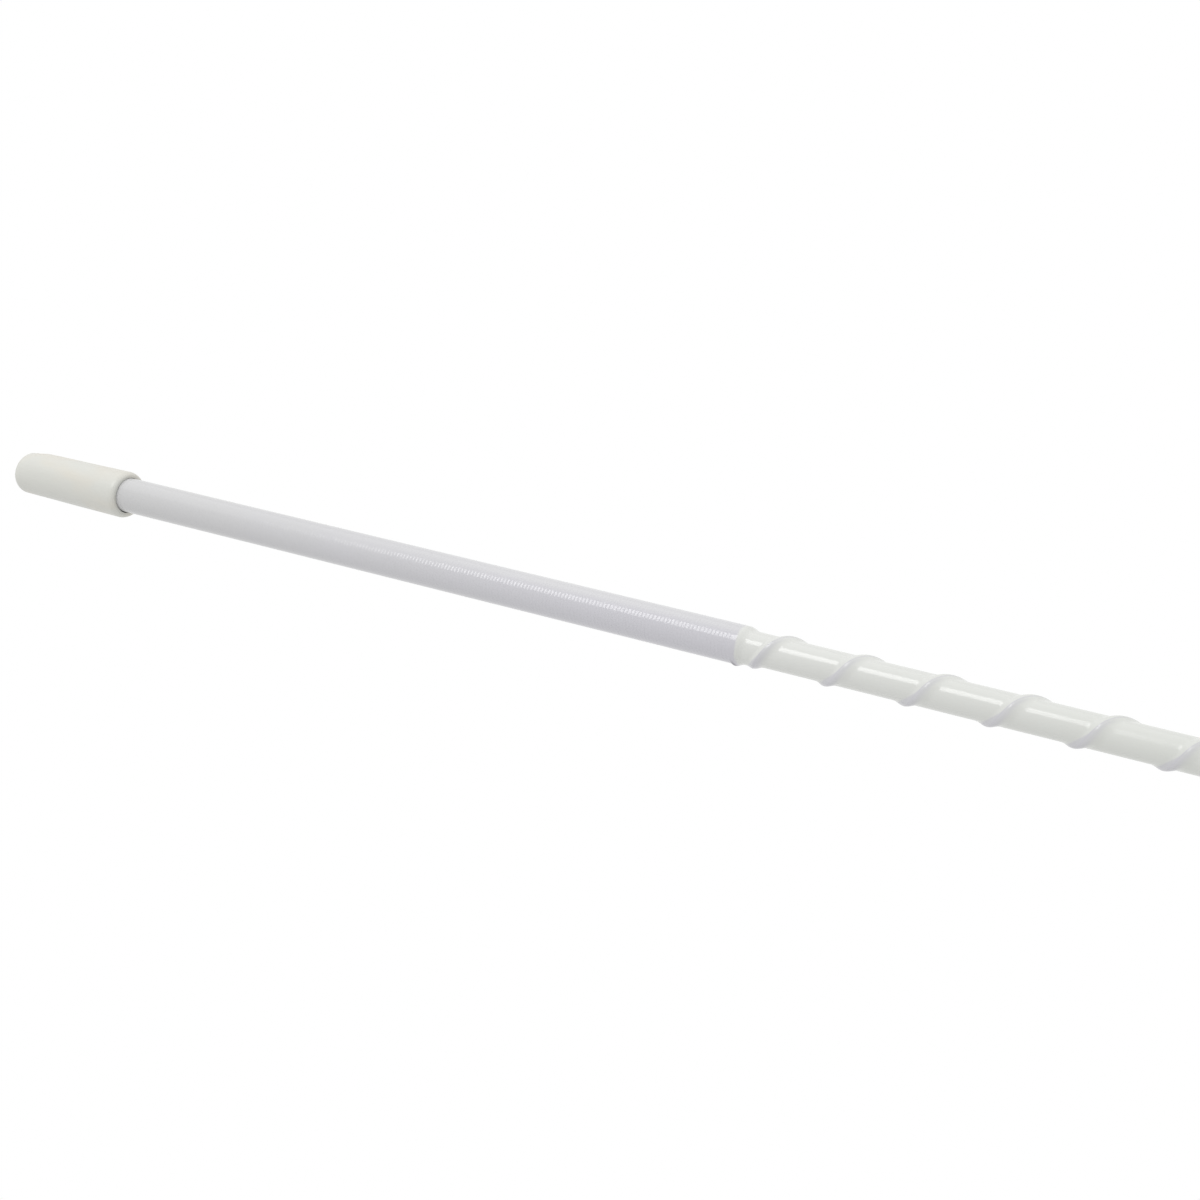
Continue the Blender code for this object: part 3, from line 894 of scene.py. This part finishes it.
# ---- the base ferrule, in sections from the rod's end to the stud's ----
BASE_SOCKET_DEPTH = 28 * MM
BARREL_LENGTH = 21 * MM
BARREL_RADIUS = 6.9 * MM
BARREL_ROUNDING = 0.5 * MM
CRIMPS = (5 * MM, 10.5 * MM, 16 * MM)
CRIMP_DEPTH = 0.35 * MM
CRIMP_HALF_WIDTH = 0.9 * MM
HEX_LENGTH = 12 * MM
HEX_CHAMFER = 1.2 * MM
STUD_LENGTH = 19 * MM
STUD_RADIUS = 4.7625 * MM
STUD_PITCH = 25.4 * MM / 24
STUD_THREAD_DEPTH = 0.62 * MM
STUD_NECK = 1.2 * MM
STUD_THREAD_START = 1.6 * MM
STUD_THREAD_STOP = 1.0 * MM
STUD_TIP_BEVEL = (0.5 * MM, 0.1 * MM)


def make_base_ferrule():
    first, last = stations("base_ferrule")
    across_flats = height_of("base_ferrule")
    spigot = radius_of("tip_ferrule")
    seat = last - STUD_LENGTH
    hex_first = seat - HEX_LENGTH
    barrel_first = hex_first - BARREL_LENGTH
    socket_floor = first + BASE_SOCKET_DEPTH
    root = STUD_RADIUS - STUD_THREAD_DEPTH
    thread_end = last - STUD_TIP_BEVEL[1]
    sleeve = [(ROD_SOCKET_RADIUS, first), (spigot, first), (spigot, barrel_first)]
    sleeve.append((BARREL_RADIUS, barrel_first))
    for middle in (barrel_first + crimp for crimp in CRIMPS):
        sleeve.append((BARREL_RADIUS, middle - CRIMP_HALF_WIDTH))
        sleeve.append((BARREL_RADIUS - CRIMP_DEPTH, middle))
        sleeve.append((BARREL_RADIUS, middle + CRIMP_HALF_WIDTH))
    sleeve.append((BARREL_RADIUS, hex_first))
    profile = [
        (0.0, socket_floor),
        (ROD_SOCKET_RADIUS, socket_floor),
        *rounded(sleeve, BARREL_ROUNDING),
        *hex_outline(across_flats, hex_first, seat, HEX_CHAMFER),
        (root, seat),
        (root, seat + STUD_NECK),
        *thread_rows(STUD_RADIUS, seat + STUD_THREAD_START, last - STUD_THREAD_STOP, STUD_PITCH),
        (root, thread_end),
        (root - STUD_TIP_BEVEL[0], last),
        (0.0, last),
    ]

    def machined(radius, station, angles):
        """The hexagon's flats, and the thread, which runs out over its last millimetre."""
        if radius == STUD_RADIUS:
            runout = min(1.0, (thread_end - station) / STUD_THREAD_STOP)
            cut = thread(STUD_RADIUS, STUD_THREAD_DEPTH, STUD_PITCH, station, angles)
            return np.minimum(cut, root + STUD_THREAD_DEPTH * runout)
        return np.minimum(radius, hexagon(across_flats, angles))

    obj = turned("base_ferrule_turned", profile, shape=machined, sharp_degrees=30)
    add_piece(obj, "antenna", "nickel_plate", "base_ferrule")


# ---- the CAD nodes that keep their shape, all of them under the skin or the ferrules ----
KEPT_NODES = {
    "fibreglass_rod": "glass_fibre",
    "load_coil": "copper_wire",
    "helix_wire": "copper_wire",
    "tip_lead": "copper_wire",
    "tip_solder": "solder",
    "base_solder": "solder",
}


def finish_kept_nodes():
    """Give each of them its finished material."""
    for node, slot in KEPT_NODES.items():
        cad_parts[node].data.materials[0] = materials[slot]


make_jacket()
make_cap()
make_tuning_rod()
make_tuning_knob()
make_lock_nut()
make_tip_ferrule()
make_base_ferrule()
finish_kept_nodes()

# ---- floor, light and camera ----
FLOOR_SIZE = 30.0
FLOOR_DROP = 0.45 * MM
WHITE = 1.0
CAMERA_TARGET = Vector((-0.1668, 0.0, 0.01235))
CAMERA_DISTANCE = 0.9875
CAMERA_AZIMUTH = math.radians(39.84)
CAMERA_ELEVATION = math.radians(16.86)
CAMERA_LENS = 90.0
CAMERA_SENSOR = 36.0
CAMERA_CLIP_END = 50.0


def aim(obj, target):
    obj.rotation_euler = (target - obj.location).to_track_quat("-Z", "Y").to_euler()


def make_floor():
    """A white light table, just under the cap."""
    bpy.ops.mesh.primitive_grid_add(size=FLOOR_SIZE, x_subdivisions=4, y_subdivisions=4)
    floor = bpy.context.object
    floor.name = "light_table"
    floor.location.z = -FLOOR_DROP
    made = bpy.data.materials.new("lit_acrylic")
    made.use_nodes = True
    shader = made.node_tree.nodes["Principled BSDF"]
    shader.inputs["Base Color"].default_value = (0.0, 0.0, 0.0, 1.0)
    shader.inputs["Specular IOR Level"].default_value = 0.0
    shader.inputs["Emission Color"].default_value = (1.0, 1.0, 1.0, 1.0)
    shader.inputs["Emission Strength"].default_value = WHITE
    floor.data.materials.append(made)


def make_world():
    world = bpy.data.worlds.new("white_tent")
    world.use_nodes = True
    background = world.node_tree.nodes["Background"]
    background.inputs["Color"].default_value = (1.0, 1.0, 1.0, 1.0)
    background.inputs["Strength"].default_value = WHITE
    bpy.context.scene.world = world


def area_light(name, location, target, size, power):
    data = bpy.data.lights.new(name, "AREA")
    data.shape = "RECTANGLE"
    data.size, data.size_y = size
    data.energy = power
    obj = bpy.data.objects.new(name, data)
    obj.location = location
    bpy.context.scene.collection.objects.link(obj)
    aim(obj, Vector(target))


def make_lights():
    """A small light beyond the tip on the near side, and a large one overhead."""
    area_light(
        "strip", location=(-0.72, -0.56, 0.8), target=(-0.72, 0.0, 0.0), size=(0.45, 0.49), power=2.8
    )
    area_light(
        "overhead", location=(-0.3, 0.0, 1.2), target=(-0.3, 0.0, 0.0), size=(4.0, 1.9), power=9.5
    )


def make_camera():
    data = bpy.data.cameras.new("camera")
    data.lens = CAMERA_LENS
    data.sensor_width = CAMERA_SENSOR
    data.clip_end = CAMERA_CLIP_END
    camera = bpy.data.objects.new("camera", data)
    level = math.cos(CAMERA_ELEVATION)
    back = Vector((math.sin(CAMERA_AZIMUTH) * level, -math.cos(CAMERA_AZIMUTH) * level, 0.0))
    back.z = math.sin(CAMERA_ELEVATION)
    camera.location = CAMERA_TARGET + back * CAMERA_DISTANCE
    bpy.context.scene.collection.objects.link(camera)
    aim(camera, CAMERA_TARGET)
    bpy.context.scene.camera = camera


make_floor()
make_world()
make_lights()
make_camera()
bpy.context.scene.view_settings.view_transform = "Standard"
